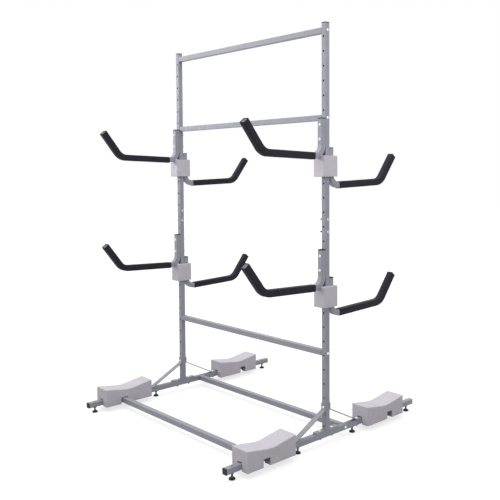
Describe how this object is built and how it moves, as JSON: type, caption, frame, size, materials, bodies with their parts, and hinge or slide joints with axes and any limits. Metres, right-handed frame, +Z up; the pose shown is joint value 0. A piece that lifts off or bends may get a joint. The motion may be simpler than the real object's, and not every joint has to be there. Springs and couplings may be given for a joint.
{
  "type": "freestanding kayak rack",
  "caption": "Freestanding rack of square steel tube with padded arms bolted to drilled posts, foam saddles on its base tubes and levelling feet.",
  "frame": {"origin": "on the floor, midway between the two base tubes and halfway along them", "axes": "+X along the cross bars from the left post to the right post, +Y from the front of the rack to its rear, +Z up"},
  "size_m": [1.384, 1.443, 2.187],
  "materials": {
    "grey_paint": "silver-grey powder coat, satin",
    "black_foam": "black closed-cell foam, matt with a fine grain",
    "pale_foam": "pale grey closed-cell foam, matt",
    "foot_rubber": "black rubber, satin",
    "zinc_plate": "bright zinc plate",
    "dark_caps": "dark moulded plastic, satin",
    "dark_nuts": "dark oxide, satin",
    "pale_plugs": "light grey moulded plastic"
  },
  "bodies": {
    "rack": {"left_post": "grey_paint", "right_post": "grey_paint", "left_post_plate": "grey_paint", "right_post_plate": "grey_paint", "left_base_tube": "grey_paint", "right_base_tube": "grey_paint", "top_bar": "grey_paint", "middle_bar": "grey_paint", "lower_bar": "grey_paint", "front_base_bar": "grey_paint", "rear_base_bar": "grey_paint", "left_front_brace": "grey_paint", "left_rear_brace": "grey_paint", "right_front_brace": "grey_paint", "right_rear_brace": "grey_paint", "left_upper_front_arm": "grey_paint", "left_upper_rear_arm": "grey_paint", "left_lower_front_arm": "grey_paint", "left_lower_rear_arm": "grey_paint", "right_upper_front_arm": "grey_paint", "right_upper_rear_arm": "grey_paint", "right_lower_front_arm": "grey_paint", "right_lower_rear_arm": "grey_paint", "left_upper_front_sleeve": "black_foam", "left_upper_rear_sleeve": "black_foam", "left_lower_front_sleeve": "black_foam", "left_lower_rear_sleeve": "black_foam", "right_upper_front_sleeve": "black_foam", "right_upper_rear_sleeve": "black_foam", "right_lower_front_sleeve": "black_foam", "right_lower_rear_sleeve": "black_foam", "left_upper_bumper": "pale_foam", "left_lower_bumper": "pale_foam", "right_upper_bumper": "pale_foam", "right_lower_bumper": "pale_foam", "left_front_saddle": "pale_foam", "left_rear_saddle": "pale_foam", "right_front_saddle": "pale_foam", "right_rear_saddle": "pale_foam", "end_caps": "dark_caps", "tip_plugs": "pale_plugs", "bolts": "zinc_plate", "foot_nuts": "dark_nuts"},
    "left_pad_1_body": {"left_pad_1": "foot_rubber"},
    "left_stud_1_body": {"left_stud_1": "zinc_plate"},
    "left_pad_2_body": {"left_pad_2": "foot_rubber"},
    "left_stud_2_body": {"left_stud_2": "zinc_plate"},
    "left_pad_3_body": {"left_pad_3": "foot_rubber"},
    "left_stud_3_body": {"left_stud_3": "zinc_plate"},
    "left_pad_4_body": {"left_pad_4": "foot_rubber"},
    "left_stud_4_body": {"left_stud_4": "zinc_plate"},
    "right_pad_1_body": {"right_pad_1": "foot_rubber"},
    "right_stud_1_body": {"right_stud_1": "zinc_plate"},
    "right_pad_2_body": {"right_pad_2": "foot_rubber"},
    "right_stud_2_body": {"right_stud_2": "zinc_plate"},
    "right_pad_3_body": {"right_pad_3": "foot_rubber"},
    "right_stud_3_body": {"right_stud_3": "zinc_plate"},
    "right_pad_4_body": {"right_pad_4": "foot_rubber"},
    "right_stud_4_body": {"right_stud_4": "zinc_plate"}
  },
  "joints": [
    {"name": "left_foot_1_height", "type": "slide", "parent": "rack", "child": "left_pad_1_body", "axis": [0, 0, 1], "range_m": [-0.009, 0.0045]},
    {"name": "left_foot_1_screw", "type": "hinge", "parent": "left_pad_1_body", "child": "left_stud_1_body", "pos_m": [-0.635, -0.675, 0.02], "axis": [0, 0, 1], "range_deg": [-2160, 1080]},
    {"name": "left_foot_2_height", "type": "slide", "parent": "rack", "child": "left_pad_2_body", "axis": [0, 0, 1], "range_m": [-0.009, 0.0045]},
    {"name": "left_foot_2_screw", "type": "hinge", "parent": "left_pad_2_body", "child": "left_stud_2_body", "pos_m": [-0.635, -0.2415, 0.02], "axis": [0, 0, 1], "range_deg": [-2160, 1080]},
    {"name": "left_foot_3_height", "type": "slide", "parent": "rack", "child": "left_pad_3_body", "axis": [0, 0, 1], "range_m": [-0.009, 0.0045]},
    {"name": "left_foot_3_screw", "type": "hinge", "parent": "left_pad_3_body", "child": "left_stud_3_body", "pos_m": [-0.635, 0.1825, 0.02], "axis": [0, 0, 1], "range_deg": [-2160, 1080]},
    {"name": "left_foot_4_height", "type": "slide", "parent": "rack", "child": "left_pad_4_body", "axis": [0, 0, 1], "range_m": [-0.009, 0.0045]},
    {"name": "left_foot_4_screw", "type": "hinge", "parent": "left_pad_4_body", "child": "left_stud_4_body", "pos_m": [-0.635, 0.675, 0.02], "axis": [0, 0, 1], "range_deg": [-2160, 1080]},
    {"name": "right_foot_1_height", "type": "slide", "parent": "rack", "child": "right_pad_1_body", "axis": [0, 0, 1], "range_m": [-0.009, 0.0045]},
    {"name": "right_foot_1_screw", "type": "hinge", "parent": "right_pad_1_body", "child": "right_stud_1_body", "pos_m": [0.635, -0.675, 0.02], "axis": [0, 0, 1], "range_deg": [-2160, 1080]},
    {"name": "right_foot_2_height", "type": "slide", "parent": "rack", "child": "right_pad_2_body", "axis": [0, 0, 1], "range_m": [-0.009, 0.0045]},
    {"name": "right_foot_2_screw", "type": "hinge", "parent": "right_pad_2_body", "child": "right_stud_2_body", "pos_m": [0.635, -0.2415, 0.02], "axis": [0, 0, 1], "range_deg": [-2160, 1080]},
    {"name": "right_foot_3_height", "type": "slide", "parent": "rack", "child": "right_pad_3_body", "axis": [0, 0, 1], "range_m": [-0.009, 0.0045]},
    {"name": "right_foot_3_screw", "type": "hinge", "parent": "right_pad_3_body", "child": "right_stud_3_body", "pos_m": [0.635, 0.1825, 0.02], "axis": [0, 0, 1], "range_deg": [-2160, 1080]},
    {"name": "right_foot_4_height", "type": "slide", "parent": "rack", "child": "right_pad_4_body", "axis": [0, 0, 1], "range_m": [-0.009, 0.0045]},
    {"name": "right_foot_4_screw", "type": "hinge", "parent": "right_pad_4_body", "child": "right_stud_4_body", "pos_m": [0.635, 0.675, 0.02], "axis": [0, 0, 1], "range_deg": [-2160, 1080]}
  ],
  "couplings": [
    {"joint": "left_foot_1_screw", "follows": "left_foot_1_height", "rad_per_m": 4188.8},
    {"joint": "left_foot_2_screw", "follows": "left_foot_2_height", "rad_per_m": 4188.8},
    {"joint": "left_foot_3_screw", "follows": "left_foot_3_height", "rad_per_m": 4188.8},
    {"joint": "left_foot_4_screw", "follows": "left_foot_4_height", "rad_per_m": 4188.8},
    {"joint": "right_foot_1_screw", "follows": "right_foot_1_height", "rad_per_m": 4188.8},
    {"joint": "right_foot_2_screw", "follows": "right_foot_2_height", "rad_per_m": 4188.8},
    {"joint": "right_foot_3_screw", "follows": "right_foot_3_height", "rad_per_m": 4188.8},
    {"joint": "right_foot_4_screw", "follows": "right_foot_4_height", "rad_per_m": 4188.8}
  ]
}
